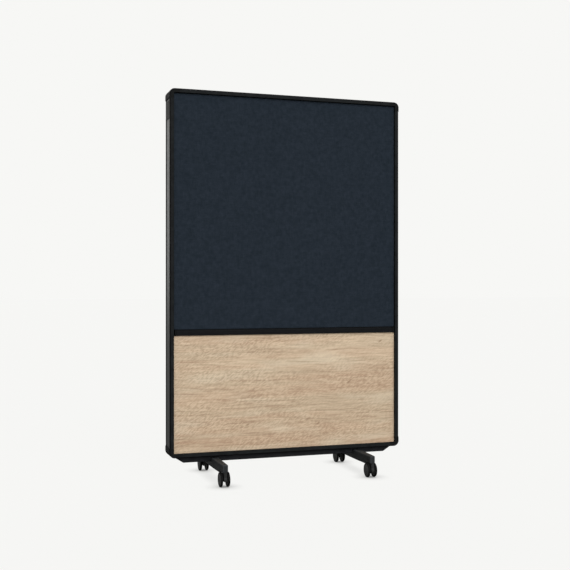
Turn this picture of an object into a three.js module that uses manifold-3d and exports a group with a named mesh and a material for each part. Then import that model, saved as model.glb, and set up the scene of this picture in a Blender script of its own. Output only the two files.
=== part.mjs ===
// Rolling partition: a two-sided office screen on four swivelling twin-wheel casters.
//
// Millimetres, +Z up. X runs along the screen's width and the front faces -Y. The origin is on the
// floor, under the middle of the screen.

import * as THREE from 'three';
import * as BufferGeometryUtils from 'three/addons/utils/BufferGeometryUtils.js';
import Module from 'manifold-3d';

const wasm = await Module();
wasm.setup();

// ---------------------------------------------------------------- driving dimensions

const GAP = 0.3; // clearance between pieces that touch

// frame
const FRAME_WIDTH = 1200;
const FRAME_DEPTH = 110;
const FRAME_BOTTOM = 117;
const FRAME_TOP = 1898;
const BORDER = 19.5; // width of the frame that shows around the panels
const EDGE_RADIUS = 4; // rounding of the frame's long outer edges
const TONGUE_WIDTH = 22; // inner box of the extrusion, which the boards lie against
const TONGUE_DEPTH = 62;
const WALL = 2.5; // wall of the hollow extrusions

// corner caps
const CAP_LEG = 47;
const CAP_RADIUS = 24;
const CAP_PROUD = 2.5; // how far a cap stands out of the upright's side

// channel, strip and cover block on the outer side of each upright
const CHANNEL_WIDTH = 74;
const CHANNEL_FLOOR = 4;
const STRIP_THICKNESS = 2.2;
const LINK_COVER_TOP = 1842; // a little of the strip shows above the cover
const LINK_COVER_BOTTOM = 1754;
const LINK_COVER_THICKNESS = 1.8;

// panels
const RAIL_BOTTOM = 706.5;
const RAIL_TOP = 735;
const REVEAL = 0.8; // dark gap between a panel and the frame
const FABRIC_THICKNESS = 1.2;
const FABRIC_RECESS = 11; // the fabric's face, behind the frame's face
const FABRIC_ROUNDING = 2.4;
const LAMINATE_RECESS = 12; // the laminate's face, behind the frame's face
const LAMINATE_ROUNDING = 0.8;

// hooking rail
const RAIL_RECESS = 3; // the lip's face, behind the frame's face
const RAIL_HALF_LENGTH = 576;
const RAIL_CAP_LENGTH = 8;
const RAIL_LIP_HEIGHT = 23.5;
const RAIL_LIP_THICKNESS = 3;
const RAIL_SLOT_WIDTH = 8;
const RAIL_SLOT_FLOOR = 5;

// middle rail and cores
const MIDDLE_RAIL_BOTTOM = 700;
const MIDDLE_RAIL_TOP = 744;
const CORE_DEPTH = 25;

// base beam
const BEAM_BOTTOM = 88;
const BEAM_DEPTH = 44;
const BEAM_HALF_TOP = 570;
const BEAM_HALF_BOTTOM = 528;
const BEAM_BEVEL = 1.5;

// cross feet
const FOOT_X = 374;
const FOOT_HALF_LENGTH = 243;
const FOOT_TOP = 108;
const FOOT_BOTTOM = 60;
const FOOT_TIP_BOTTOM = 72.5; // underside over the caster
const FOOT_ROOT_HALF_WIDTH = 18;
const FOOT_TIP_HALF_WIDTH = 13;
const FOOT_ROOT_Y = 60;
const FOOT_STEP_Y = 172; // where the underside starts to rise
const FOOT_STEP_RUN = 12;
const FOOT_ROUNDING = 6;

// casters
const STEM_Y = 231;
const TRAIL = 18; // the axle lies this far inboard of the stem
const WHEEL_RADIUS = 35;
const WHEEL_SIDES = 24;
const CASTER_WIDTH = 49;
const WHEEL_GAP = 24.5;
const TYRE_WIDTH = 9.9;
const TYRE_BORE = 29.7;
const HUB_RADIUS = 29.4;
const HUB_BORE = 3.3;
const AXLE_RADIUS = 3;
const AXLE_HALF_LENGTH = 19;
const BODY_HALF_WIDTH = 8;
const BODY_RADIUS = 33.5;
const BODY_LOW_EDGE = 28;
const BODY_BEVEL = 1.5;
const BLOCK_HALF_LENGTH = 13; // the block round the stem
const BLOCK_BOTTOM = 43;
const COLLAR_RADIUS = 12;
const COLLAR_BOTTOM = 70.8;
const STEM_RADIUS = 5.5;
const STEM_BOTTOM = 52;
const STEM_TOP = 100;

// worked out from the values above
const HALF_WIDTH = FRAME_WIDTH / 2;
const HALF_DEPTH = FRAME_DEPTH / 2;
const INNER_X = HALF_WIDTH - BORDER;
const INNER_BOTTOM = FRAME_BOTTOM + BORDER;
const INNER_TOP = FRAME_TOP - BORDER;
const HALF_TONGUE = TONGUE_DEPTH / 2;
const TONGUE_X = INNER_X - TONGUE_WIDTH;
const TONGUE_TOP = INNER_TOP - TONGUE_WIDTH;
const TONGUE_BOTTOM = INNER_BOTTOM + TONGUE_WIDTH;
const POST_BOTTOM = FRAME_BOTTOM + CAP_LEG;
const POST_TOP = FRAME_TOP - CAP_LEG;
const RAIL_SPAN = HALF_WIDTH - CAP_LEG;
const AXLE_Y = STEM_Y - TRAIL;

// ---------------------------------------------------------------- finishes

const finish = (color, roughness, metalness = 0) =>
  new THREE.MeshStandardMaterial({ color, roughness, metalness });

const FINISH = {
  frame: finish(0x1d2021, 0.5),
  cap: finish(0x1b1c1d, 0.6),
  strip: finish(0x2a2b2b, 0.35),
  linkCover: finish(0x1e1e1e, 0.65),
  fabric: finish(0x252d36, 0.95),
  board: finish(0x8c7355, 0.9),
  laminate: finish(0xc2ab91, 0.55),
  rail: finish(0x16181a, 0.45),
  core: finish(0x4a4d50, 1.0),
  beam: finish(0x161718, 0.5),
  foot: finish(0x232425, 0.5),
  casterBody: finish(0x242525, 0.5),
  hub: finish(0x262727, 0.5),
  tyre: finish(0x1a1a1a, 0.8),
  steel: finish(0x9a9c9e, 0.35, 1),
};

// ---------------------------------------------------------------- solids

const SOLID_MERGE = 1e-4;

function weld(geometry) {
  const bare = geometry.index ? geometry.toNonIndexed() : geometry.clone();
  bare.deleteAttribute('normal');
  bare.deleteAttribute('uv');
  return BufferGeometryUtils.mergeVertices(bare, SOLID_MERGE);
}

function toSolid(geometry) {
  const welded = weld(geometry);
  return new wasm.Manifold(
    new wasm.Mesh({
      numProp: 3,
      vertProperties: new Float32Array(welded.attributes.position.array),
      triVerts: new Uint32Array(welded.index.array),
    }),
  );
}

function toGeometry(solid) {
  const mesh = solid.getMesh();
  const geometry = new THREE.BufferGeometry();
  geometry.setAttribute('position', new THREE.BufferAttribute(mesh.vertProperties, 3));
  geometry.setIndex(new THREE.BufferAttribute(mesh.triVerts, 1));
  geometry.computeVertexNormals();
  return geometry;
}

function cut(geometry, ...tools) {
  let solid = toSolid(geometry);
  for (const tool of tools) {
    solid = solid.subtract(toSolid(tool));
  }
  return toGeometry(solid);
}

function join(first, ...others) {
  let solid = toSolid(first);
  for (const other of others) {
    solid = solid.add(toSolid(other));
  }
  return toGeometry(solid);
}

// A box from its lowest to its highest corner.
function boxBetween([x0, y0, z0], [x1, y1, z1]) {
  const box = new THREE.BoxGeometry(x1 - x0, y1 - y0, z1 - z0);
  box.translate((x0 + x1) / 2, (y0 + y1) / 2, (z0 + z1) / 2);
  return box;
}

// An outline through [x, y] points, with a rounded corner at each point that has a radius.
function roundedOutline(points) {
  const outline = new THREE.Shape();
  const count = points.length;
  points.forEach(([x, y, radius = 0], i) => {
    const corner = new THREE.Vector2(x, y);
    const before = new THREE.Vector2(...points[(i + count - 1) % count]);
    const after = new THREE.Vector2(...points[(i + 1) % count]);
    const start = corner.clone().add(before.sub(corner).setLength(radius));
    const end = corner.clone().add(after.sub(corner).setLength(radius));
    if (i === 0) {
      outline.moveTo(start.x, start.y);
    } else {
      outline.lineTo(start.x, start.y);
    }
    if (radius > 0) {
      outline.quadraticCurveTo(x, y, end.x, end.y);
    }
  });
  outline.closePath();
  return outline;
}

// A block whose edges are all rounded off in two short steps.
function roundedBlock([x0, y0, z0], [x1, y1, z1], radius) {
  const outline = roundedOutline([
    [x0 + radius, z0 + radius],
    [x1 - radius, z0 + radius],
    [x1 - radius, z1 - radius],
    [x0 + radius, z1 - radius],
  ]);
  return extrudeAlongY(outline, y0 + radius, y1 - radius, {
    bevelEnabled: true,
    bevelThickness: radius,
    bevelSize: radius,
    bevelSegments: 2,
  });
}

// An outline drawn in X and Z, extruded from y0 to y1.
function extrudeAlongY(outline, y0, y1, options = {}) {
  const solid = new THREE.ExtrudeGeometry(outline, {
    depth: y1 - y0,
    bevelEnabled: false,
    curveSegments: 6,
    ...options,
  });
  solid.rotateX(Math.PI / 2);
  solid.translate(0, y1, 0);
  return solid;
}

// An outline drawn in Y and Z, extruded from x0 to x1.
function extrudeAlongX(outline, x0, x1, options = {}) {
  const solid = new THREE.ExtrudeGeometry(outline, {
    depth: x1 - x0,
    bevelEnabled: false,
    curveSegments: 3,
    ...options,
  });
  solid.rotateZ(Math.PI / 2);
  solid.rotateY(Math.PI / 2);
  solid.translate(x0, 0, 0);
  return solid;
}

// An outline drawn in X and Y, extruded from z0 to z1.
function extrudeAlongZ(outline, z0, z1, options = {}) {
  const solid = new THREE.ExtrudeGeometry(outline, {
    depth: z1 - z0,
    bevelEnabled: false,
    curveSegments: 3,
    ...options,
  });
  solid.translate(0, 0, z0);
  return solid;
}

// A solid of revolution about the X axis. The profile holds [x, radius] points, and a flat of the
// many-sided circle faces down. The flats, not the corners, lie at the stated radius.
function turnAboutX(profile, sides) {
  const grow = 1 / Math.cos(Math.PI / sides);
  const points = profile.map(([x, radius]) => new THREE.Vector2(radius * grow, x));
  const solid = new THREE.LatheGeometry(points, sides, Math.PI / sides);
  solid.rotateZ(-Math.PI / 2);
  return solid;
}

function pinAlongZ(radius, z0, z1, sides) {
  const pin = new THREE.CylinderGeometry(radius, radius, z1 - z0, sides);
  pin.rotateX(Math.PI / 2);
  pin.translate(0, 0, (z0 + z1) / 2);
  return pin;
}

function pinAlongX(radius, x0, x1, sides) {
  const pin = new THREE.CylinderGeometry(radius, radius, x1 - x0, sides);
  pin.rotateZ(Math.PI / 2);
  pin.translate((x0 + x1) / 2, 0, 0);
  return pin;
}

function mirrorX(geometry) {
  return toGeometry(toSolid(geometry).mirror([1, 0, 0]));
}

function mirrorY(geometry) {
  return toGeometry(toSolid(geometry).mirror([0, 1, 0]));
}

function mirrorZ(geometry, z) {
  const moved = geometry.clone();
  moved.translate(0, 0, -z);
  const flipped = toGeometry(toSolid(moved).mirror([0, 0, 1]));
  flipped.translate(0, 0, z);
  return flipped;
}

// ---------------------------------------------------------------- assembly

const partition = new THREE.Group();

function addPiece(name, geometry, material, place = [0, 0, 0]) {
  const piece = new THREE.Mesh(geometry, material);
  piece.name = name;
  piece.position.set(...place);
  partition.add(piece);
}

// ---------------------------------------------------------------- extruded frame

// Section of the extrusion: u runs outward from the panels' edge and v runs through the depth.
// The outer block shows as the border, and the tongue behind the boards carries them.
function frameSection(hasChannel) {
  const outer = BORDER;
  const channelHalf = CHANNEL_WIDTH / 2;
  const section = [
    [-TONGUE_WIDTH, -HALF_TONGUE, 1],
    [0, -HALF_TONGUE],
    [0, -HALF_DEPTH, 0.8],
    [outer, -HALF_DEPTH, EDGE_RADIUS],
  ];
  if (hasChannel) {
    section.push(
      [outer, -channelHalf],
      [outer - CHANNEL_FLOOR, -channelHalf],
      [outer - CHANNEL_FLOOR, channelHalf],
      [outer, channelHalf],
    );
  }
  section.push(
    [outer, HALF_DEPTH, EDGE_RADIUS],
    [0, HALF_DEPTH, 0.8],
    [0, HALF_TONGUE],
    [-TONGUE_WIDTH, HALF_TONGUE, 1],
  );
  return section;
}

// The two hollow chambers of the extrusion, as [u, v] rectangles.
const BLOCK_CHAMBER = [
  [WALL, -HALF_DEPTH + 2 * WALL],
  [BORDER - CHANNEL_FLOOR - WALL, HALF_DEPTH - 2 * WALL],
];
const TONGUE_CHAMBER = [
  [WALL - TONGUE_WIDTH, -HALF_TONGUE + WALL],
  [-WALL / 2, HALF_TONGUE - WALL],
];

function sectionShape(points, place) {
  const shape = roundedOutline(points.map(([u, v, radius]) => [...place(u, v), radius]));
  for (const [[u0, v0], [u1, v1]] of [BLOCK_CHAMBER, TONGUE_CHAMBER]) {
    const corners = [[u0, v0], [u0, v1], [u1, v1], [u1, v0]];
    shape.holes.push(new THREE.Path(corners.map(([u, v]) => new THREE.Vector2(...place(u, v)))));
  }
  return shape;
}

const uprightShape = sectionShape(frameSection(true), (u, v) => [INNER_X + u, v]);
const upright = extrudeAlongZ(uprightShape, POST_BOTTOM + GAP, POST_TOP - GAP);
addPiece('right_upright', upright, FINISH.frame);
addPiece('left_upright', mirrorX(upright), FINISH.frame);

const topRailShape = sectionShape(frameSection(false), (u, v) => [v, INNER_TOP + u]);
const topRail = extrudeAlongX(topRailShape, -RAIL_SPAN + GAP, RAIL_SPAN - GAP);
addPiece('top_rail', topRail, FINISH.frame);
addPiece('bottom_rail', mirrorZ(topRail, (FRAME_TOP + FRAME_BOTTOM) / 2), FINISH.frame);

const middleOutline = roundedOutline([
  [-HALF_TONGUE, MIDDLE_RAIL_BOTTOM, 2],
  [HALF_TONGUE, MIDDLE_RAIL_BOTTOM, 2],
  [HALF_TONGUE, MIDDLE_RAIL_TOP, 2],
  [-HALF_TONGUE, MIDDLE_RAIL_TOP, 2],
]);
middleOutline.holes.push(
  new THREE.Path([
    new THREE.Vector2(-HALF_TONGUE + WALL, MIDDLE_RAIL_BOTTOM + WALL),
    new THREE.Vector2(-HALF_TONGUE + WALL, MIDDLE_RAIL_TOP - WALL),
    new THREE.Vector2(HALF_TONGUE - WALL, MIDDLE_RAIL_TOP - WALL),
    new THREE.Vector2(HALF_TONGUE - WALL, MIDDLE_RAIL_BOTTOM + WALL),
  ]),
);
const middleRail = extrudeAlongX(middleOutline, -TONGUE_X + GAP, TONGUE_X - GAP);
addPiece('middle_rail', middleRail, FINISH.frame);

// ---------------------------------------------------------------- corner caps

// One moulding serves all four corners. The legs close the ends of the upright and the rail, and
// the elbow between the pockets joins their tongues.
function cornerCap() {
  const side = HALF_WIDTH + CAP_PROUD;
  const legX = HALF_WIDTH - CAP_LEG;
  const legZ = FRAME_TOP - CAP_LEG;
  const bevel = EDGE_RADIUS;
  const outline = roundedOutline([
    [legX - bevel, legZ],
    [side - bevel, legZ],
    [side - bevel, FRAME_TOP - bevel, CAP_RADIUS],
    [legX - bevel, FRAME_TOP - bevel],
  ]);
  const block = extrudeAlongY(outline, -HALF_DEPTH + bevel, HALF_DEPTH - bevel, {
    bevelEnabled: true,
    bevelThickness: bevel,
    bevelSize: bevel,
    bevelSegments: 2,
  });
  const far = 2 * CAP_LEG;
  const trimSide = boxBetween([legX - far, -far, legZ - far], [legX, far, FRAME_TOP + far]);
  const trimFoot = boxBetween([legX - far, -far, legZ - far], [side + far, far, legZ]);
  const pocket = boxBetween([legX - far, HALF_TONGUE, legZ - far], [INNER_X, far, INNER_TOP]);
  const core = boxBetween([legX - far, -far, legZ - far], [TONGUE_X, far, TONGUE_TOP]);
  return cut(block, trimSide, trimFoot, pocket, mirrorY(pocket), core);
}

const capTopRight = cornerCap();
const capBottomRight = mirrorZ(capTopRight, (FRAME_TOP + FRAME_BOTTOM) / 2);
addPiece('corner_cap_top_right', capTopRight, FINISH.cap);
addPiece('corner_cap_top_left', mirrorX(capTopRight), FINISH.cap);
addPiece('corner_cap_bottom_right', capBottomRight, FINISH.cap);
addPiece('corner_cap_bottom_left', mirrorX(capBottomRight), FINISH.cap);

// ---------------------------------------------------------------- side strips and cover blocks

const channelX = HALF_WIDTH - CHANNEL_FLOOR + GAP;
const stripHalf = CHANNEL_WIDTH / 2 - GAP;
const sideStrip = boxBetween(
  [channelX, -stripHalf, POST_BOTTOM + GAP],
  [channelX + STRIP_THICKNESS, stripHalf, POST_TOP - GAP],
);
const coverX = channelX + STRIP_THICKNESS + GAP;
const linkCover = roundedBlock(
  [coverX, -stripHalf, LINK_COVER_BOTTOM],
  [coverX + LINK_COVER_THICKNESS, stripHalf, LINK_COVER_TOP],
  0.8,
);
for (const [side, flip] of [['right', (g) => g], ['left', mirrorX]]) {
  addPiece(`${side}_side_strip`, flip(sideStrip), FINISH.strip);
  addPiece(`${side}_link_cover`, flip(linkCover), FINISH.linkCover);
}

// ---------------------------------------------------------------- panels

// Modelled for the front, at -Y. The rear ones are their mirror images.
const panelBack = -HALF_TONGUE - GAP;
const panelHalf = INNER_X - REVEAL;
const upperLow = RAIL_TOP + REVEAL;
const upperHigh = INNER_TOP - REVEAL;
const fabricFace = -HALF_DEPTH + FABRIC_RECESS;

const wrap = FABRIC_THICKNESS + GAP;
const upperBoard = roundedBlock(
  [-panelHalf + wrap, fabricFace + wrap, upperLow + wrap],
  [panelHalf - wrap, panelBack, upperHigh - wrap],
  FABRIC_ROUNDING - FABRIC_THICKNESS,
);

// A skin over the board's face and edges, open at the back.
const skinBack = panelBack - 1;
const skinOutside = roundedBlock(
  [-panelHalf, fabricFace, upperLow],
  [panelHalf, skinBack + 2 * FABRIC_ROUNDING, upperHigh],
  FABRIC_ROUNDING,
);
const skinInside = roundedBlock(
  [-panelHalf + FABRIC_THICKNESS, fabricFace + FABRIC_THICKNESS, upperLow + FABRIC_THICKNESS],
  [panelHalf - FABRIC_THICKNESS, HALF_DEPTH, upperHigh - FABRIC_THICKNESS],
  FABRIC_ROUNDING - FABRIC_THICKNESS,
);
const skinTrim = boxBetween(
  [-HALF_WIDTH, skinBack, 0],
  [HALF_WIDTH, HALF_DEPTH, FRAME_TOP],
);
const fabricCover = cut(skinOutside, skinInside, skinTrim);

const laminatePanel = roundedBlock(
  [-panelHalf, -HALF_DEPTH + LAMINATE_RECESS, INNER_BOTTOM + REVEAL],
  [panelHalf, panelBack, RAIL_BOTTOM - REVEAL],
  LAMINATE_ROUNDING,
);

// ---------------------------------------------------------------- hooking rail

// J section: a back that fills the gap between the panels, and an upturned lip in front of a slot
// that hooks drop into.
const railFront = -HALF_DEPTH + RAIL_RECESS;
const slotFront = railFront + RAIL_LIP_THICKNESS;
const slotBack = slotFront + RAIL_SLOT_WIDTH;
const lipTop = RAIL_BOTTOM + RAIL_LIP_HEIGHT;
const railOutline = roundedOutline([
  [railFront, RAIL_BOTTOM, 2],
  [panelBack, RAIL_BOTTOM],
  [panelBack, RAIL_TOP],
  [slotBack, RAIL_TOP, 1],
  [slotBack, RAIL_BOTTOM + RAIL_SLOT_FLOOR, 1],
  [slotFront, RAIL_BOTTOM + RAIL_SLOT_FLOOR, 1],
  [slotFront, lipTop, 1.5],
  [railFront, lipTop, 1.5],
]);
const railBodyHalf = RAIL_HALF_LENGTH - RAIL_CAP_LENGTH - GAP;
const hookingRail = extrudeAlongX(railOutline, -railBodyHalf, railBodyHalf, { curveSegments: 2 });

const railCap = roundedBlock(
  [RAIL_HALF_LENGTH - RAIL_CAP_LENGTH, railFront - 0.5, RAIL_BOTTOM - 0.5],
  [RAIL_HALF_LENGTH, panelBack, RAIL_TOP + 0.5],
  1.5,
);

const mirroredPieces = [
  ['upper_board', upperBoard, FINISH.board],
  ['fabric_cover', fabricCover, FINISH.fabric],
  ['laminate_panel', laminatePanel, FINISH.laminate],
  ['hooking_rail', hookingRail, FINISH.rail],
  ['rail_cap_right', railCap, FINISH.cap],
  ['rail_cap_left', mirrorX(railCap), FINISH.cap],
];
for (const [name, geometry, material] of mirroredPieces) {
  addPiece(`front_${name}`, geometry, material);
  addPiece(`rear_${name}`, mirrorY(geometry), material);
}

// ---------------------------------------------------------------- sound-absorbing cores

const coreX = TONGUE_X - 1;
const coreY = CORE_DEPTH / 2;
const upperCore = boxBetween(
  [-coreX, -coreY, MIDDLE_RAIL_TOP + GAP],
  [coreX, coreY, TONGUE_TOP - GAP],
);
const lowerCore = boxBetween(
  [-coreX, -coreY, TONGUE_BOTTOM + GAP],
  [coreX, coreY, MIDDLE_RAIL_BOTTOM - GAP],
);
addPiece('upper_core', upperCore, FINISH.core);
addPiece('lower_core', lowerCore, FINISH.core);

// ---------------------------------------------------------------- base beam

const beamTop = FRAME_BOTTOM - GAP;
const beamOutline = roundedOutline([
  [-BEAM_HALF_TOP, beamTop - BEAM_BEVEL],
  [-BEAM_HALF_BOTTOM, BEAM_BOTTOM + BEAM_BEVEL],
  [BEAM_HALF_BOTTOM, BEAM_BOTTOM + BEAM_BEVEL],
  [BEAM_HALF_TOP, beamTop - BEAM_BEVEL],
]);
const beamHalf = BEAM_DEPTH / 2;
const beam = extrudeAlongY(beamOutline, -beamHalf + BEAM_BEVEL, beamHalf - BEAM_BEVEL, {
  bevelEnabled: true,
  bevelThickness: BEAM_BEVEL,
  bevelSize: BEAM_BEVEL,
  bevelSegments: 1,
});
addPiece('base_beam', beam, FINISH.beam);

// ---------------------------------------------------------------- cross feet

// The plan tapers towards the tips. The top is notched for the beam, and the underside steps up
// over each caster so that its wheels can swivel.
function crossFoot() {
  const tip = FOOT_HALF_LENGTH - FOOT_ROUNDING;
  const tipHalf = FOOT_TIP_HALF_WIDTH - FOOT_ROUNDING;
  const rootHalf = FOOT_ROOT_HALF_WIDTH - FOOT_ROUNDING;
  const plan = roundedOutline([
    [tipHalf, -tip, 1],
    [rootHalf, -FOOT_ROOT_Y],
    [rootHalf, FOOT_ROOT_Y],
    [tipHalf, tip, 1],
    [-tipHalf, tip, 1],
    [-rootHalf, FOOT_ROOT_Y],
    [-rootHalf, -FOOT_ROOT_Y],
    [-tipHalf, -tip, 1],
  ]);
  const arm = extrudeAlongZ(plan, FOOT_BOTTOM + FOOT_ROUNDING, FOOT_TOP - FOOT_ROUNDING, {
    bevelEnabled: true,
    bevelThickness: FOOT_ROUNDING,
    bevelSize: FOOT_ROUNDING,
    bevelSegments: 3,
  });

  const reach = FOOT_ROOT_HALF_WIDTH + 10;
  const stepOutline = roundedOutline([
    [FOOT_STEP_Y, FOOT_BOTTOM - 10],
    [FOOT_STEP_Y, FOOT_BOTTOM],
    [FOOT_STEP_Y + FOOT_STEP_RUN, FOOT_TIP_BOTTOM],
    [FOOT_HALF_LENGTH + 10, FOOT_TIP_BOTTOM],
    [FOOT_HALF_LENGTH + 10, FOOT_BOTTOM - 10],
  ]);
  const step = extrudeAlongX(stepOutline, -reach, reach);
  const notchHalf = BEAM_DEPTH / 2 + GAP;
  const notch = boxBetween(
    [-reach, -notchHalf, BEAM_BOTTOM - GAP],
    [reach, notchHalf, FOOT_TOP + 10],
  );
  const bore = pinAlongZ(STEM_RADIUS + GAP, FOOT_BOTTOM, STEM_TOP + GAP, 16);
  bore.translate(0, STEM_Y, 0);
  return cut(arm, step, mirrorY(step), notch, bore, mirrorY(bore));
}

const foot = crossFoot();
addPiece('left_foot', foot, FINISH.foot, [-FOOT_X, 0, 0]);
addPiece('right_foot', foot, FINISH.foot, [FOOT_X, 0, 0]);

// ---------------------------------------------------------------- casters

// The body is modelled about its axle, with the stem on the -Y side. Seen from the side it is a
// disc between the wheels, cut off above the floor, with a block round the stem up to the foot.
function casterBody() {
  const disc = turnAboutX(
    [
      [-BODY_HALF_WIDTH, 0],
      [-BODY_HALF_WIDTH, BODY_RADIUS - BODY_BEVEL],
      [-BODY_HALF_WIDTH + BODY_BEVEL, BODY_RADIUS],
      [BODY_HALF_WIDTH - BODY_BEVEL, BODY_RADIUS],
      [BODY_HALF_WIDTH, BODY_RADIUS - BODY_BEVEL],
      [BODY_HALF_WIDTH, 0],
    ],
    WHEEL_SIDES,
  );
  const top = FOOT_TIP_BOTTOM - GAP - WHEEL_RADIUS;
  const block = roundedBlock(
    [-BODY_HALF_WIDTH, -TRAIL - BLOCK_HALF_LENGTH, BLOCK_BOTTOM - WHEEL_RADIUS],
    [BODY_HALF_WIDTH, -TRAIL + BLOCK_HALF_LENGTH, top],
    BODY_BEVEL,
  );
  const collar = pinAlongZ(COLLAR_RADIUS, COLLAR_BOTTOM - WHEEL_RADIUS, top, 20);
  collar.translate(0, -TRAIL, 0);

  const far = 2 * WHEEL_RADIUS;
  const low = boxBetween([-far, -far, -far], [far, far, BODY_LOW_EDGE - WHEEL_RADIUS]);
  const stemBore = pinAlongZ(STEM_RADIUS + GAP, STEM_BOTTOM - GAP - WHEEL_RADIUS, far, 16);
  stemBore.translate(0, -TRAIL, 0);
  const axleBore = pinAlongX(AXLE_RADIUS + GAP, -far, far, 16);
  return cut(join(disc, block, collar), low, stemBore, axleBore);
}

// The +X wheel of a pair. The hub's outer face is a shallow dome that hides the axle's end.
const wheelInside = WHEEL_GAP / 2;
const wheelOutside = CASTER_WIDTH / 2;
const hubProfile = [
  [AXLE_HALF_LENGTH + GAP, 0],
  [AXLE_HALF_LENGTH + GAP, HUB_BORE],
  [wheelInside, HUB_BORE],
  [wheelInside, HUB_RADIUS],
  [wheelOutside - 2.6, HUB_RADIUS],
  [wheelOutside - 1.2, HUB_RADIUS * 0.8],
  [wheelOutside - 0.3, HUB_RADIUS * 0.4],
  [wheelOutside, 0],
];
const tyreInside = wheelInside + 0.4;
const tyreOutside = tyreInside + TYRE_WIDTH;
const tyreProfile = [
  [tyreInside, TYRE_BORE],
  [tyreInside, WHEEL_RADIUS - 1.5],
  [tyreInside + 1.5, WHEEL_RADIUS],
  [tyreOutside - 2, WHEEL_RADIUS],
  [tyreOutside - 0.6, WHEEL_RADIUS - 0.6],
  [tyreOutside, WHEEL_RADIUS - 2],
  [tyreOutside, TYRE_BORE],
  [tyreInside, TYRE_BORE],
];
const rightHub = turnAboutX(hubProfile, WHEEL_SIDES);
const rightTyre = turnAboutX(tyreProfile, WHEEL_SIDES);
const wheels = [
  ['right', rightHub, rightTyre],
  ['left', mirrorX(rightHub), mirrorX(rightTyre)],
];
const frontBody = casterBody();
const rearBody = mirrorY(frontBody);
const stem = pinAlongZ(STEM_RADIUS, STEM_BOTTOM, STEM_TOP, 16);
const axle = pinAlongX(AXLE_RADIUS, -AXLE_HALF_LENGTH, AXLE_HALF_LENGTH, 16);

for (const [row, rowSign, body] of [['front', -1, frontBody], ['rear', 1, rearBody]]) {
  for (const [column, columnSign] of [['left', -1], ['right', 1]]) {
    const corner = `${row}_${column}_caster`;
    const x = columnSign * FOOT_X;
    const axlePlace = [x, rowSign * AXLE_Y, WHEEL_RADIUS];
    addPiece(`${corner}_stem`, stem, FINISH.steel, [x, rowSign * STEM_Y, 0]);
    addPiece(`${corner}_body`, body, FINISH.casterBody, axlePlace);
    addPiece(`${corner}_axle`, axle, FINISH.steel, axlePlace);
    for (const [side, hub, tyre] of wheels) {
      addPiece(`${corner}_${side}_hub`, hub, FINISH.hub, axlePlace);
      addPiece(`${corner}_${side}_tyre`, tyre, FINISH.tyre, axlePlace);
    }
  }
}

export default partition;
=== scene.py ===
import math

import bmesh
import bpy
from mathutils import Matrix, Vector


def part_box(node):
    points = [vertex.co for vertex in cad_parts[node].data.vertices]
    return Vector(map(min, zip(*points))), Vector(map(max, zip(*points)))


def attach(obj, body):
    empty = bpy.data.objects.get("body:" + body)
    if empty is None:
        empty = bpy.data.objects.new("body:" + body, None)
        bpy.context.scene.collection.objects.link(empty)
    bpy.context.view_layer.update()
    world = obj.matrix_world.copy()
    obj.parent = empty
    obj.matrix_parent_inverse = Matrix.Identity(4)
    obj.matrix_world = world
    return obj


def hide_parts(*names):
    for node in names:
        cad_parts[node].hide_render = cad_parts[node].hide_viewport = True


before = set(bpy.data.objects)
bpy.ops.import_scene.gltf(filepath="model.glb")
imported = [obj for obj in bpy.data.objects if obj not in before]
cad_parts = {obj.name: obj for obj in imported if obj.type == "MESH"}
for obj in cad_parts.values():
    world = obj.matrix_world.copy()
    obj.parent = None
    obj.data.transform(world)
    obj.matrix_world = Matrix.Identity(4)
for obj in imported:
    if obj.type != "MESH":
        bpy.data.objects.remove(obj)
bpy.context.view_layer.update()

# ---------------------------------------------------------------- camera and studio
# The screen stands on a pale seamless floor, in soft light from all round, with a broad key light
# in front and a weaker fill from behind. The camera is level, at half the screen's height,
# and stands to the left of its middle.

PHOTO_PIXELS = 570
FOCAL_PIXELS = 953.8
SENSOR_WIDTH = 36.0
VIEW_END = 200.0
CAMERA_PLACE = Vector((-1.504, -4.573, 0.951))
CAMERA_TURN = math.radians(18.188)

camera_data = bpy.data.cameras.new("camera")
camera_data.sensor_width = SENSOR_WIDTH
camera_data.lens = FOCAL_PIXELS / PHOTO_PIXELS * SENSOR_WIDTH
camera_data.clip_end = VIEW_END
camera = bpy.data.objects.new("camera", camera_data)
camera.location = CAMERA_PLACE
camera.rotation_euler = (math.pi / 2, 0.0, -CAMERA_TURN)
bpy.context.scene.collection.objects.link(camera)
bpy.context.scene.camera = camera
bpy.context.scene.view_settings.view_transform = "Standard"


def shade(red, green, blue):
    """A colour as it shows on a screen, 0 to 255, in the linear values that a shader takes."""
    channels = [value / 255 for value in (red, green, blue)]
    linear = [c / 12.92 if c <= 0.04045 else ((c + 0.055) / 1.055) ** 2.4 for c in channels]
    return (*linear, 1.0)


def add_node(tree, kind, inputs=None, **settings):
    """A new shader node. Each input is a plain value or the output that is linked to it."""
    made = tree.nodes.new(kind)
    for name, value in settings.items():
        setattr(made, name, value)
    for name, value in (inputs or {}).items():
        if isinstance(value, bpy.types.NodeSocket):
            tree.links.new(value, made.inputs[name])
        else:
            made.inputs[name].default_value = value
    return made


def maths(tree, operation, first, second=0.0):
    made = add_node(tree, "ShaderNodeMath", {0: first, 1: second}, operation=operation)
    return made.outputs[0]


def rays_that_see_the_backdrop(tree):
    rays = add_node(tree, "ShaderNodeLightPath").outputs
    direct = maths(tree, "MAXIMUM", rays["Is Camera Ray"], rays["Is Glossy Ray"])
    return maths(tree, "MAXIMUM", direct, rays["Is Transmission Ray"])


BACKDROP = shade(247, 247, 245)
SKY_WHITE = (1, 1, 1, 1)
SKY_LEVEL = 0.80
LAMP_SPREAD = math.radians(50)
FLOOR_GREY = shade(122, 122, 121)
FLOOR_WHITE = shade(255, 255, 253)
FLOOR_SHARE = 0.90
FLOOR_REACH = 0.075
FLOOR_FADE = 0.7
FLOOR_SAMPLES = 16
FLOOR_SIZE = 120.0

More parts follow.
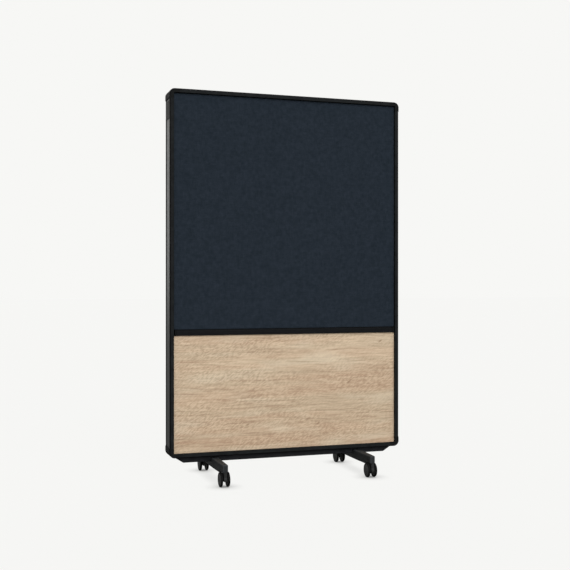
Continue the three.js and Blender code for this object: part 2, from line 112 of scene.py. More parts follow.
world = bpy.data.worlds.new("studio")
world.use_nodes = True
bpy.context.scene.world = world
tree = world.node_tree
tree.nodes.clear()
sky = add_node(tree, "ShaderNodeBackground", {"Color": SKY_WHITE, "Strength": SKY_LEVEL})
backdrop = add_node(tree, "ShaderNodeBackground", {"Color": BACKDROP, "Strength": 1.0})
seen = add_node(
    tree,
    "ShaderNodeMixShader",
    {0: rays_that_see_the_backdrop(tree), 1: sky.outputs[0], 2: backdrop.outputs[0]},
)
add_node(tree, "ShaderNodeOutputWorld", {"Surface": seen.outputs[0]})


def floor_paint():
    """A grey floor, lifted to the backdrop's white where the camera sees it.

    The lift fades close to what stands on the floor, so that the contact shadows stay.
    """
    material = bpy.data.materials.new("floor_paint")
    material.use_nodes = True
    tree = material.node_tree
    tree.nodes.clear()
    paint = add_node(tree, "ShaderNodeBsdfDiffuse", {"Color": FLOOR_GREY})
    nearby = add_node(
        tree, "ShaderNodeAmbientOcclusion", {"Distance": FLOOR_REACH}, samples=FLOOR_SAMPLES
    )
    reach = maths(tree, "POWER", nearby.outputs["AO"], FLOOR_FADE)
    lift = add_node(tree, "ShaderNodeEmission", {"Color": FLOOR_WHITE, "Strength": reach})
    seen = add_node(tree, "ShaderNodeLightPath").outputs["Is Camera Ray"]
    share = maths(tree, "MULTIPLY", seen, FLOOR_SHARE)
    mixed = add_node(
        tree, "ShaderNodeMixShader", {0: share, 1: paint.outputs[0], 2: lift.outputs[0]}
    )
    add_node(tree, "ShaderNodeOutputMaterial", {"Surface": mixed.outputs[0]})
    return material


bm = bmesh.new()
bmesh.ops.create_grid(bm, x_segments=1, y_segments=1, size=FLOOR_SIZE / 2)
floor_mesh = bpy.data.meshes.new("floor")
bm.to_mesh(floor_mesh)
bm.free()
floor_mesh.materials.append(floor_paint())
floor = bpy.data.objects.new("floor", floor_mesh)
bpy.context.scene.collection.objects.link(floor)


def soft_sun(name, azimuth, elevation, strength):
    """A broad lamp. Azimuth 0 shines from the front and 90 from the right, in degrees."""
    lamp = bpy.data.lights.new(name, "SUN")
    lamp.energy = strength
    lamp.angle = LAMP_SPREAD
    holder = bpy.data.objects.new(name, lamp)
    turn, rise = math.radians(azimuth), math.radians(elevation)
    source = Vector(
        (math.sin(turn) * math.cos(rise), -math.cos(turn) * math.cos(rise), math.sin(rise))
    )
    holder.rotation_mode = "QUATERNION"
    holder.rotation_quaternion = source.to_track_quat("Z", "Y")
    bpy.context.scene.collection.objects.link(holder)


soft_sun("key_light", azimuth=5, elevation=32, strength=1.72)
soft_sun("fill_light", azimuth=165, elevation=30, strength=0.70)

# ---------------------------------------------------------------- extruded frame
# The uprights and the top and bottom rails are lengths of aluminium extrusion, powder coated in a
# fine black. A shallow channel runs down the outer side of each upright, and a tongue between the
# panels stiffens the section.

SCREEN = "screen"
BORDER = 0.0195
EDGE_ROUNDING = 0.0038
TONGUE_REACH = 0.022
TONGUE_HALF = 0.031
CHANNEL_HALF = 0.037
CHANNEL_DEPTH = 0.004
CRISP_ROUNDING = 0.0007
NEAR = 1e-5
APART = 1e-4
MERGE_DISTANCE = 1e-6
PARALLEL = 0.999
MOTTLE_RATE = 0.04
MOTTLE_TONES = (0.75, 1.2)
MOTTLE_GLOSS = (-0.04, 0.06)
SCUFF_TURN = (0.5, 0.9, 0.4)
SCUFF_RATE = (9.0, 9.0, 140.0)
SCUFF_SHARE = 0.5
SCUFF_TONE = 1.5
SCUFF_LIFT = 0.004
SCUFF_POLISH = 0.08


def place_on_piece(tree):
    """Where a point lies on its piece, in metres."""
    return add_node(tree, "ShaderNodeTexCoord").outputs["Object"]


def noise(tree, place, rate, detail=2.0, twist=0.0):
    """Noise at a rate in waves per metre, one for all axes or a tuple of one for each."""
    if isinstance(rate, tuple):
        place = add_node(tree, "ShaderNodeMapping", {"Vector": place, "Scale": rate}).outputs[0]
        rate = 1.0
    inputs = {"Vector": place, "Scale": rate, "Detail": detail, "Distortion": twist}
    return add_node(tree, "ShaderNodeTexNoise", inputs).outputs[0]


def span(tree, value, low, high, start=0.0, end=1.0):
    """The value stretched so that low gives start and high gives end."""
    made = add_node(
        tree,
        "ShaderNodeMapRange",
        {"Value": value, "From Min": low, "From Max": high, "To Min": start, "To Max": end},
    )
    return made.outputs[0]


def stipple_group():
    """Fine pimples of a moulded or powder-coated skin, with a broad, faint mottling."""
    group = bpy.data.node_groups.new("stipple", "ShaderNodeTree")
    size = group.interface.new_socket("Size", in_out="INPUT", socket_type="NodeSocketFloat")
    size.default_value = 0.001
    group.interface.new_socket("Height", in_out="OUTPUT", socket_type="NodeSocketFloat")
    group.interface.new_socket("Mottle", in_out="OUTPUT", socket_type="NodeSocketFloat")
    given = group.nodes.new("NodeGroupInput")
    place = place_on_piece(group)
    rate = maths(group, "DIVIDE", 1.0, given.outputs["Size"])
    pimples = noise(group, place, rate)
    clouds = noise(group, place, maths(group, "MULTIPLY", rate, MOTTLE_RATE), detail=3.0)
    result = group.nodes.new("NodeGroupOutput")
    group.links.new(pimples, result.inputs["Height"])
    group.links.new(clouds, result.inputs["Mottle"])
    return group


def scuff_group():
    """Short, faint rub marks from use, as a mask that is 0 on most of the surface."""
    group = bpy.data.node_groups.new("scuffs", "ShaderNodeTree")
    group.interface.new_socket("Mask", in_out="OUTPUT", socket_type="NodeSocketFloat")
    place = place_on_piece(group)
    turned = add_node(
        group,
        "ShaderNodeMapping",
        {"Vector": place, "Rotation": SCUFF_TURN, "Scale": SCUFF_RATE},
    ).outputs[0]
    marks = span(group, noise(group, turned, 1.0, detail=4.0), 0.56, 0.72)
    areas = span(group, noise(group, place, 5.0), 0.50, 0.68)
    result = group.nodes.new("NodeGroupOutput")
    group.links.new(maths(group, "MULTIPLY", marks, areas), result.inputs["Mask"])
    return group


stipple = stipple_group()
scuffs = scuff_group()


def blend_colours(tree, share, first, second):
    """Two colours mixed. The mix node keeps its colour sockets at places 6 and 7."""
    inputs = {0: share, 6: first, 7: second}
    return add_node(tree, "ShaderNodeMix", inputs, data_type="RGBA").outputs[2]


def relief(tree, height, depth, under=None):
    """Bumps of that depth in metres, laid over the bumps in under."""
    inputs = {"Height": height, "Distance": depth, "Strength": 1.0}
    if under is not None:
        inputs["Normal"] = under
    return add_node(tree, "ShaderNodeBump", inputs).outputs[0]


def rounded_edges_mask(tree):
    """1 on the faces that round_edges makes, and 0 elsewhere."""
    return add_node(tree, "ShaderNodeAttribute", attribute_name="edge").outputs["Fac"]


def blank_material(name):
    """A material with its surface shader, ready for the nodes that feed it."""
    material = bpy.data.materials.new(name)
    material.use_nodes = True
    tree = material.node_tree
    tree.nodes.clear()
    surface = add_node(tree, "ShaderNodeBsdfPrincipled")
    add_node(tree, "ShaderNodeOutputMaterial", {"Surface": surface.outputs[0]})
    return material, tree, surface


def feed(tree, surface, **inputs):
    """Values and outputs for the surface shader. Underscores in a name stand for spaces."""
    for name, value in inputs.items():
        socket = surface.inputs[name.replace("_", " ")]
        if isinstance(value, bpy.types.NodeSocket):
            tree.links.new(value, socket)
        else:
            socket.default_value = value


def toned(colour, factor, lift=0.0):
    """A darker or lighter version of a colour."""
    return tuple(min(1.0, factor * c + lift) for c in colour[:3]) + (1.0,)


def dark_finish(name, face, edge, gloss, specular, grain, depth):
    """A black or near-black skin whose rounded edges take painted shading: an edge colour darker
    than the face paints shade there, a lighter one paints a highlight.

    Gloss is its roughness. Grain is the width of its pimples, and depth their height.
    """
    material, tree, surface = blank_material(name)
    skin = add_node(tree, "ShaderNodeGroup", node_tree=stipple)
    skin.inputs["Size"].default_value = grain
    rubbed = add_node(tree, "ShaderNodeGroup", node_tree=scuffs).outputs["Mask"]
    darker, lighter = (toned(face, tone) for tone in MOTTLE_TONES)
    smoothest, roughest = (gloss + step for step in MOTTLE_GLOSS)
    mottle = span(tree, skin.outputs["Mottle"], 0.35, 0.65)
    plain = blend_colours(tree, mottle, darker, lighter)
    scuffed = maths(tree, "MULTIPLY", rubbed, SCUFF_SHARE)
    worn = blend_colours(tree, scuffed, plain, toned(face, SCUFF_TONE, SCUFF_LIFT))
    # The edge colour on the rounded edges is painted shading: painted shade where it is darker
    # than the face, a painted highlight where it is lighter.
    colour = blend_colours(tree, rounded_edges_mask(tree), worn, edge)
    grip = span(tree, skin.outputs["Mottle"], 0.3, 0.7, smoothest, roughest)
    rough = maths(tree, "SUBTRACT", grip, maths(tree, "MULTIPLY", rubbed, SCUFF_POLISH))
    feed(
        tree,
        surface,
        Base_Color=colour,
        Roughness=rough,
        Specular_IOR_Level=specular,
        Normal=relief(tree, skin.outputs["Height"], depth),
    )
    return material


def round_edges(bm, edges, radius, segments):
    """Rounds edges over, and marks the new faces so that a finish can tell them apart."""
    rounded = bmesh.ops.bevel(
        bm,
        geom=edges,
        offset=radius,
        offset_type="OFFSET",
        affect="EDGES",
        segments=segments,
        profile=0.5,
        material=-1,
        clamp_overlap=True,
    )
    rim = bm.faces.layers.float["edge"]
    for face in rounded["faces"]:
        face[rim] = 1.0


def start_mesh():
    """An empty mesh, whose faces can be marked as rounded edges."""
    bm = bmesh.new()
    bm.faces.layers.float.new("edge")
    return bm


def prism(outline, place, start, end):
    """A straight bar. The outline holds (u, v) corners, and place(u, v, along) gives a point."""
    bm = start_mesh()
    base = bm.faces.new([bm.verts.new(place(u, v, start)) for u, v in outline])
    grown = bmesh.ops.extrude_face_region(bm, geom=[base])["geom"]
    far_end = [part for part in grown if isinstance(part, bmesh.types.BMVert)]
    bmesh.ops.translate(bm, verts=far_end, vec=place(0, 0, end) - place(0, 0, start))
    bmesh.ops.recalc_face_normals(bm, faces=bm.faces[:])
    return bm


def round_corners(bm, place, corners, radius, segments):
    """Rounds a bar's long edges at the outline's (u, v) corners named."""
    spots = [place(u, v, 0) for u, v in corners]
    run = (place(0, 0, 1) - place(0, 0, 0)).normalized()
    chosen = []
    for edge in bm.edges:
        near, far = (vert.co for vert in edge.verts)
        if abs((far - near).normalized().dot(run)) < PARALLEL:
            continue
        flat = near - run * near.dot(run)
        if any((flat - spot).length < NEAR for spot in spots):
            chosen.append(edge)
    round_edges(bm, chosen, radius, segments)


def show(bm, name, nodes, material, body=SCREEN, crease=32):
    """Turns the mesh into a finished piece that stands for its CAD nodes and moves with body."""
    bmesh.ops.remove_doubles(bm, verts=bm.verts[:], dist=MERGE_DISTANCE)
    bmesh.ops.recalc_face_normals(bm, faces=bm.faces[:])
    for face in bm.faces:
        face.smooth = True
    for edge in bm.edges:
        if len(edge.link_faces) != 2 or edge.calc_face_angle() > math.radians(crease):
            edge.smooth = False
    mesh = bpy.data.meshes.new(name)
    bm.to_mesh(mesh)
    bm.free()
    mesh.materials.append(material)
    piece = bpy.data.objects.new(name, mesh)
    bpy.context.scene.collection.objects.link(piece)
    even = piece.modifiers.new("even_shading", "WEIGHTED_NORMAL")
    even.keep_sharp = True
    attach(piece, body)
    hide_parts(*nodes)
    return piece


def refinish(material, *nodes):
    """Gives CAD nodes whose shape is already right their real finish."""
    for node in nodes:
        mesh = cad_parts[node].data
        mesh.materials.clear()
        mesh.materials.append(material)


# Its edge colour, darker than the face, is painted shade on the rounded edges of the extrusions.
powder_coat = dark_finish(
    "powder_coat",
    face=shade(27, 29, 30),
    edge=shade(4, 4, 5),
    gloss=0.58,
    specular=0.06,
    grain=0.0012,
    depth=0.00004,
)

HALF_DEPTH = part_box("right_upright")[1].y
INNER_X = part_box("right_upright")[1].x - BORDER
FRAME_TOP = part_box("top_rail")[1].z
FRAME_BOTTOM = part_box("bottom_rail")[0].z

OUTER_CORNERS = [(BORDER, -HALF_DEPTH), (BORDER, HALF_DEPTH)]
INNER_CORNERS = [(0, -HALF_DEPTH), (0, HALF_DEPTH)]
CHANNEL_CORNERS = [(BORDER, -CHANNEL_HALF), (BORDER, CHANNEL_HALF)]
PLAIN_SECTION = [
    (-TONGUE_REACH, -TONGUE_HALF),
    (0, -TONGUE_HALF),
    INNER_CORNERS[0],
    OUTER_CORNERS[0],
    OUTER_CORNERS[1],
    INNER_CORNERS[1],
    (0, TONGUE_HALF),
    (-TONGUE_REACH, TONGUE_HALF),
]
CHANNEL_SECTION = (
    PLAIN_SECTION[:4]
    + [
        CHANNEL_CORNERS[0],
        (BORDER - CHANNEL_DEPTH, -CHANNEL_HALF),
        (BORDER - CHANNEL_DEPTH, CHANNEL_HALF),
        CHANNEL_CORNERS[1],
    ]
    + PLAIN_SECTION[4:]
)

for side, sign in (("left", -1), ("right", 1)):
    low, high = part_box(f"{side}_upright")

    def upright_place(u, v, along, sign=sign):
        return Vector((sign * (INNER_X + u), v, along))

    bm = prism(CHANNEL_SECTION, upright_place, low.z, high.z)
    round_corners(bm, upright_place, OUTER_CORNERS, EDGE_ROUNDING, 6)
    round_corners(bm, upright_place, INNER_CORNERS + CHANNEL_CORNERS, CRISP_ROUNDING, 2)
    show(bm, f"{side}_upright_extrusion", [f"{side}_upright"], powder_coat)

for name, inner_z, sign in (
    ("top_rail", FRAME_TOP - BORDER, 1),
    ("bottom_rail", FRAME_BOTTOM + BORDER, -1),
):
    low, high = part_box(name)

    def rail_place(u, v, along, inner_z=inner_z, sign=sign):
        return Vector((along, v, inner_z + sign * u))

    bm = prism(PLAIN_SECTION, rail_place, low.x, high.x)
    round_corners(bm, rail_place, OUTER_CORNERS, EDGE_ROUNDING, 6)
    round_corners(bm, rail_place, INNER_CORNERS, CRISP_ROUNDING, 2)
    show(bm, f"{name}_extrusion", [name], powder_coat)

refinish(powder_coat, "middle_rail")

# ---------------------------------------------------------------- corner caps
# Four black nylon mouldings close the corners. Each stands a little proud of the upright's side,
# with a rounded outer corner. Spigots inside the extrusions hold it, and aren't modelled.

CORNER_RADIUS = 0.027
CAP_ROUNDING = 0.0043
CAP_FOOT_ROUNDING = 0.0006

# Its edge colour, darker than the face, is painted shade on the rounded edges of the mouldings
# and plugs.
moulded_black = dark_finish(
    "moulded_black",
    face=shade(20, 21, 21),
    edge=shade(6, 6, 7),
    gloss=0.62,
    specular=0.07,
    grain=0.0016,
    depth=0.00008,
)


def corner_moulding(vertical, side):
    """An L as deep as the frame, rounded along the outer edges of its front and rear."""
    node = f"corner_cap_{vertical}_{side}"
    low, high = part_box(node)
    across = 1 if side == "right" else -1
    up = 1 if vertical == "top" else -1
    outer = max(abs(low.x), abs(high.x))
    leg = min(abs(low.x), abs(high.x))
    rim, foot = (high.z, low.z) if up > 0 else (low.z, high.z)
    ledge = rim - up * BORDER

    def place(u, v, along):
        return Vector((across * u, along, v))

    outline = [
        (leg, rim),
        (outer, rim),
        (outer, foot),
        (INNER_X, foot),
        (INNER_X, ledge),
        (leg, ledge),
    ]
    bm = prism(outline, place, low.y, high.y)
    round_corners(bm, place, [(outer, rim)], CORNER_RADIUS, 14)

    def on_outer_rim(vert):
        shown = abs(abs(vert.co.y) - HALF_DEPTH) < NEAR
        outside = abs(vert.co.x) > INNER_X + APART or up * (vert.co.z - ledge) > APART
        return shown and outside

    def across_a_leg(edge):
        ends = [vert.co for vert in edge.verts]
        at_foot = all(abs(end.z - foot) < NEAR for end in ends)
        at_leg = all(abs(abs(end.x) - leg) < NEAR for end in ends)
        return at_foot or at_leg

    chain = [
        edge
        for edge in bm.edges
        if all(on_outer_rim(vert) for vert in edge.verts)
        and abs(edge.verts[0].co.y - edge.verts[1].co.y) < NEAR
        and not across_a_leg(edge)
    ]
    round_edges(bm, chain, CAP_ROUNDING, 6)
    round_corners(bm, place, [(outer, foot)], CAP_FOOT_ROUNDING, 2)
    show(bm, f"corner_moulding_{vertical}_{side}", [node], moulded_black)


for vertical in ("top", "bottom"):
    for side in ("left", "right"):
        corner_moulding(vertical, side)

# ---------------------------------------------------------------- side strips and cover blocks
# A satin strip is clipped into the channel on each upright's outer side. Near the top a short
# matte cover lies on it, over the place where a second screen is linked on.

COVER_ROUNDING = 0.0007


def sharp_block(low, high):
    bm = start_mesh()
    bmesh.ops.create_cube(bm, size=1.0)
    bmesh.ops.scale(bm, vec=high - low, verts=bm.verts[:])
    bmesh.ops.translate(bm, vec=(low + high) / 2, verts=bm.verts[:])
    return bm


def rounded_block(low, high, radius, segments):
    bm = sharp_block(low, high)
    round_edges(bm, bm.edges[:], radius, segments)
    return bm


# Its edge colour, darker than the face, is painted shade on the strip's rounded edges.
satin_strip = dark_finish(
    "satin_strip",
    face=shade(38, 39, 37),
    edge=shade(8, 8, 8),
    gloss=0.34,
    specular=0.30,
    grain=0.0008,
    depth=0.00001,
)
# Its edge colour, darker than the face, is painted shade on the cover's rounded edges.
matte_cover = dark_finish(
    "matte_cover",
    face=shade(26, 26, 25),
    edge=shade(12, 12, 12),
    gloss=0.58,
    specular=0.14,
    grain=0.0012,
    depth=0.00006,
)

for side in ("left", "right"):
    refinish(satin_strip, f"{side}_side_strip")
    low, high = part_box(f"{side}_link_cover")
    bm = rounded_block(low, high, COVER_ROUNDING, 3)
    show(bm, f"{side}_link_cover_plate", [f"{side}_link_cover"], matte_cover)

# ---------------------------------------------------------------- fabric panels
# A navy woven wool-like cloth is stretched over each upper board, round its softly rolled edges,
# and fixed out of sight behind it. The weave is plain, with slightly uneven yarns.

CLOTH_THICKNESS = 0.0009
CLOTH_ROLL = 0.0018
CLOTH_DARK = shade(28, 37, 45)
CLOTH_LIGHT = shade(43, 51, 61)
# The colour of the painted shade between the yarns.
CLOTH_GAP_SHADE = shade(14, 17, 21)
CLOTH_SHEEN = shade(120, 140, 165)
YARN_PITCH = 0.0011
YARN_RELIEF = 0.00022
TUFT_RATE = 55.0
TUFT_RELIEF = 0.00025
FIBRE_PALE = shade(146, 118, 84)
FIBRE_DARK = shade(112, 88, 60)
FIBRE_RELIEF = 0.0001


def navy_cloth():
    """A plain weave: sines give the yarns that cross, and noise makes each yarn uneven."""
    material, tree, surface = blank_material("navy_cloth")
    place = place_on_piece(tree)
    axes = add_node(tree, "ShaderNodeSeparateXYZ", {0: place}).outputs
    turns = math.pi / YARN_PITCH
    across = maths(tree, "SINE", maths(tree, "MULTIPLY", axes["X"], turns))
    along = maths(tree, "SINE", maths(tree, "MULTIPLY", axes["Z"], turns))
    over = maths(tree, "MULTIPLY", across, along)
    crossing = span(tree, over, -1.0, 1.0)

    warp = noise(tree, place, (900.0, 40.0, 28.0))
    weft = noise(tree, place, (28.0, 40.0, 900.0))
    yarn = add_node(
        tree, "ShaderNodeMix", {0: crossing, 2: warp, 3: weft}, data_type="FLOAT"
    ).outputs[0]
    tuft = noise(tree, place, TUFT_RATE, detail=3.0)
    yarn_tone = maths(tree, "MULTIPLY", yarn, 0.6)
    tuft_tone = maths(tree, "MULTIPLY", tuft, 0.4)
    tone = span(tree, maths(tree, "ADD", yarn_tone, tuft_tone), 0.36, 0.64)
    colour = blend_colours(tree, tone, CLOTH_DARK, CLOTH_LIGHT)
    gaps = maths(tree, "ABSOLUTE", over)
    # The gaps between the yarns are darkened towards a painted shade colour.
    colour = blend_colours(tree, span(tree, gaps, 0.0, 0.35, 0.35, 0.0), colour, CLOTH_GAP_SHADE)
    height = maths(tree, "ADD", gaps, maths(tree, "MULTIPLY", yarn, 0.5))
    weave = relief(tree, height, YARN_RELIEF)
    feed(
        tree,
        surface,
        Base_Color=colour,
        Roughness=0.92,
        Specular_IOR_Level=0.10,
        Sheen_Weight=0.04,
        Sheen_Roughness=0.5,
        Sheen_Tint=CLOTH_SHEEN,
        Normal=relief(tree, tuft, TUFT_RELIEF, weave),
    )
    return material


cloth = navy_cloth()


def board_fibre():
    """Pressed wood fibre, as the boards behind the cloth are made of."""
    material, tree, surface = blank_material("board_fibre")
    place = place_on_piece(tree)
    chips = add_node(tree, "ShaderNodeTexVoronoi", {"Vector": place, "Scale": 420.0}).outputs
    colour = blend_colours(tree, chips["Distance"], FIBRE_PALE, FIBRE_DARK)
    feed(
        tree,
        surface,
        Base_Color=colour,
        Roughness=0.9,
        Specular_IOR_Level=0.2,
        Normal=relief(tree, noise(tree, place, 900.0), FIBRE_RELIEF),
    )
    return material


fibre = board_fibre()


def stretched_cover(facing):
    """One sheet over the board's face and round its four sides, open at the back."""
    node = f"{facing}_fabric_cover"
    low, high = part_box(node)
    outward = -1 if facing == "front" else 1
    bm = sharp_block(low, high)
    back = [face for face in bm.faces if face.normal.y * outward < -0.5]
    bmesh.ops.delete(bm, geom=back, context="FACES_ONLY")
    folded = [edge for edge in bm.edges if len(edge.link_faces) == 2]
    round_edges(bm, folded, CLOTH_ROLL, 5)
    piece = show(bm, f"{facing}_fabric", [node], cloth, crease=60)
    wall = piece.modifiers.new("cloth_thickness", "SOLIDIFY")
    wall.thickness = CLOTH_THICKNESS
    wall.offset = -1.0


for facing in ("front", "rear"):
    stretched_cover(facing)
    refinish(fibre, f"{facing}_upper_board")

# ---------------------------------------------------------------- oak laminate panels
# The lower field is a board faced with a light oak laminate, its grain running across the screen,
# with a matching band glued round the edges.

OAK_PALE = shade(222, 200, 171)
OAK_GREY = shade(163, 142, 117)
OAK_PINK = shade(168, 135, 109)
OAK_SILVER = shade(222, 209, 184)
OAK_BROWN = shade(136, 106, 80)
OAK_BAND = shade(206, 184, 156)
OAK_RELIEF = 0.00005
GRAIN_DRIFT = 0.008
RAY_SLANT = math.radians(32)
LAMINATE_ROUNDING = 0.0008
PANEL_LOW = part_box("front_laminate_panel")[0].z
PANEL_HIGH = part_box("front_laminate_panel")[1].z


def oak_laminate():
    """Streaks along X that drift up and down, under short slanted rays and rare dark flecks."""
    material, tree, surface = blank_material("oak_laminate")
    place = place_on_piece(tree)

    def slanted(vector):
        inputs = {"Vector": vector, "Angle": RAY_SLANT}
        turned = add_node(tree, "ShaderNodeVectorRotate", inputs, rotation_type="Y_AXIS")
        return turned.outputs[0]

    def tinted(colour, mask, strength, tint):
        return blend_colours(tree, maths(tree, "MULTIPLY", mask, strength), colour, tint)

    slow = noise(tree, place, (2.2, 1.0, 5.0), detail=3.0)
    drift = span(tree, slow, 0.3, 0.7, -GRAIN_DRIFT, GRAIN_DRIFT)
    lift = add_node(tree, "ShaderNodeCombineXYZ", {"Z": drift}).outputs[0]
    wavy = add_node(
        tree, "ShaderNodeVectorMath", {0: place, 1: lift}, operation="ADD"
    ).outputs[0]

    bands = span(tree, noise(tree, wavy, (0.8, 1.0, 15.0), 3.0), 0.38, 0.62)
    hue = span(tree, noise(tree, wavy, (0.7, 3.0, 20.0)), 0.42, 0.58)
    streaks = span(tree, noise(tree, wavy, (7.0, 1.0, 100.0)), 0.36, 0.64)
    threads = span(tree, noise(tree, wavy, (14.0, 1.0, 180.0)), 0.36, 0.64)
    hairs = span(tree, noise(tree, wavy, (40.0, 1.0, 900.0)), 0.35, 0.65)
    ovals = span(tree, noise(tree, wavy, (2.6, 1.0, 15.0), 1.5), 0.53, 0.68)
    flames = noise(tree, slanted(wavy), (48.0, 1.0, 170.0), detail=1.0, twist=0.4)
    rays = span(tree, flames, 0.40, 0.62)
    rayed = span(tree, noise(tree, wavy, (3.0, 5.0, 12.0), 1.0), 0.38, 0.60, 0.35, 1.0)
    lines = span(tree, noise(tree, wavy, (3.2, 1.0, 105.0), 3.0), 0.56, 0.66)
    height = add_node(tree, "ShaderNodeSeparateXYZ", {0: place}).outputs["Z"]
    # The tone grows lighter towards the top of the panel and darker towards the bottom.
    rise = span(tree, height, PANEL_LOW, PANEL_HIGH)

    tone = maths(tree, "MULTIPLY", bands, 0.18)
    for layer, weight in ((streaks, 0.28), (threads, 0.24), (hairs, 0.11), (rise, 0.24)):
        tone = maths(tree, "ADD", tone, maths(tree, "MULTIPLY", layer, weight))
    deep = blend_colours(tree, hue, OAK_GREY, OAK_PINK)
    colour = blend_colours(tree, tone, deep, OAK_PALE)
    colour = tinted(colour, ovals, 0.40, OAK_SILVER)
    colour = tinted(colour, lines, 0.30, OAK_BROWN)
    dark_rays = maths(tree, "MULTIPLY", span(tree, rays, 0.45, 0.05), rayed)
    pale_rays = maths(tree, "MULTIPLY", span(tree, rays, 0.60, 1.00), rayed)
    colour = tinted(colour, dark_rays, 0.28, OAK_BROWN)
    colour = tinted(colour, pale_rays, 0.34, OAK_PALE)

    spots = add_node(
        tree,
        "ShaderNodeMapping",
        {"Vector": slanted(place), "Scale": (9.0, 0.0, 22.0)},
    ).outputs[0]
    cells = add_node(tree, "ShaderNodeTexVoronoi", {"Vector": spots, "Scale": 1.0}).outputs
    rare = maths(tree, "GREATER_THAN", cells["Color"], 0.76)
    fleck = maths(tree, "MULTIPLY", span(tree, cells["Distance"], 0.05, 0.14, 1.0, 0.0), rare)
    colour = tinted(colour, fleck, 0.60, OAK_BROWN)
    colour = tinted(colour, rounded_edges_mask(tree), 0.8, OAK_BAND)
    pores = relief(tree, hairs, OAK_RELIEF)
    feed(
        tree,
        surface,
        Base_Color=colour,
        Roughness=span(tree, streaks, 0.0, 1.0, 0.60, 0.52),
        Specular_IOR_Level=0.20,
        Normal=relief(tree, streaks, OAK_RELIEF, pores),
    )
    return material


oak = oak_laminate()

for facing in ("front", "rear"):
    low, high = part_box(f"{facing}_laminate_panel")
    bm = rounded_block(low, high, LAMINATE_ROUNDING, 3)
    show(bm, f"{facing}_oak_panel", [f"{facing}_laminate_panel"], oak)

# ---------------------------------------------------------------- hooking rails
# A J-shaped aluminium extrusion, anodised black, crosses each side between the panels. Brackets
# and trays hook over its lip. A small moulded plug closes each end.

RAIL_LIP_HEIGHT = 0.0235
RAIL_LIP_THICKNESS = 0.003
RAIL_SLOT_WIDTH = 0.008
RAIL_SLOT_FLOOR = 0.005
RAIL_NOSE_ROUNDING = 0.0020
RAIL_LIP_ROUNDING = 0.0014
RAIL_SLOT_ROUNDING = 0.0010
RAIL_WALL_ROUNDING = 0.0008
PLUG_ROUNDING = 0.0013

# Its edge colour, lighter than the face, is a painted highlight on the rail's rounded edges.
anodised_black = dark_finish(
    "anodised_black",
    face=shade(14, 15, 17),
    edge=shade(20, 21, 23),
    gloss=0.42,
    specular=0.08,
    grain=0.0007,
    depth=0.00001,
)


def hooking_rail(facing):
    node = f"{facing}_hooking_rail"
    low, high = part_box(node)
    outward = -1 if facing == "front" else 1
    nose = max(abs(low.y), abs(high.y))
    back = min(abs(low.y), abs(high.y))
    lip_back = nose - RAIL_LIP_THICKNESS
    wall = lip_back - RAIL_SLOT_WIDTH
    lip_top = low.z + RAIL_LIP_HEIGHT
    slot_floor = low.z + RAIL_SLOT_FLOOR

    def place(u, v, along):
        return Vector((along, outward * u, v))

    outline = [
        (nose, low.z),
        (back, low.z),
        (back, high.z),
        (wall, high.z),
        (wall, slot_floor),
        (lip_back, slot_floor),
        (lip_back, lip_top),
        (nose, lip_top),
    ]
    bm = prism(outline, place, low.x, high.x)
    round_corners(bm, place, [(nose, low.z)], RAIL_NOSE_ROUNDING, 4)
    round_corners(bm, place, [(nose, lip_top), (lip_back, lip_top)], RAIL_LIP_ROUNDING, 4)
    round_corners(bm, place, [(wall, slot_floor), (lip_back, slot_floor)], RAIL_SLOT_ROUNDING, 3)
    round_corners(bm, place, [(wall, high.z)], RAIL_WALL_ROUNDING, 3)
    show(bm, f"{facing}_rail_profile", [node], anodised_black)


for facing in ("front", "rear"):
    hooking_rail(facing)
    for side in ("left", "right"):
        low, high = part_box(f"{facing}_rail_cap_{side}")
        bm = rounded_block(low, high, PLUG_ROUNDING, 4)
        show(bm, f"{facing}_rail_plug_{side}", [f"{facing}_rail_cap_{side}"], moulded_black)

# ---------------------------------------------------------------- sound-absorbing cores
# Slabs of grey mineral wool fill the frame between the front and rear boards. The frame and the
# boards hold them, and nothing of them shows.

WOOL_DARK = shade(66, 68, 70)
WOOL_PALE = shade(108, 110, 112)
WOOL_RELIEF = 0.0008


def mineral_wool():
    material, tree, surface = blank_material("mineral_wool")
    fibres = noise(tree, place_on_piece(tree), 260.0, detail=5.0)
    colour = blend_colours(tree, fibres, WOOL_DARK, WOOL_PALE)
    bumps = relief(tree, fibres, WOOL_RELIEF)
    feed(tree, surface, Base_Color=colour, Roughness=1.0, Normal=bumps)
    return material


refinish(mineral_wool(), "upper_core", "lower_core")

# ---------------------------------------------------------------- base beam
# A black steel beam under the bottom rail ties the two feet together. Its ends are cut back at a
# slant and closed.

BEAM_HALF_BOTTOM = 0.528
BEAM_ROUNDING = 0.0016
BEAM_LOW, BEAM_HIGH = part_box("base_beam")

# Its edge colour, darker than the face, is painted shade on the beam's rounded edges.
beam_paint = dark_finish(
    "beam_paint",
    face=shade(33, 34, 37),
    edge=shade(14, 14, 15),
    gloss=0.50,
    specular=0.10,
    grain=0.0012,
    depth=0.00004,
)


def beam_place(u, v, along):
    return Vector((u, along, v))


beam_outline = [
    (-BEAM_HIGH.x, BEAM_HIGH.z),
    (-BEAM_HALF_BOTTOM, BEAM_LOW.z),
    (BEAM_HALF_BOTTOM, BEAM_LOW.z),
    (BEAM_HIGH.x, BEAM_HIGH.z),
]
bm = prism(beam_outline, beam_place, BEAM_LOW.y, BEAM_HIGH.y)
round_edges(bm, bm.edges[:], BEAM_ROUNDING, 3)
show(bm, "beam_section", ["base_beam"], beam_paint)

# ---------------------------------------------------------------- cross feet
# Two cast aluminium arms, powder coated black, carry the beam in a notch. They narrow towards
# their tips, and the underside steps up over each caster.

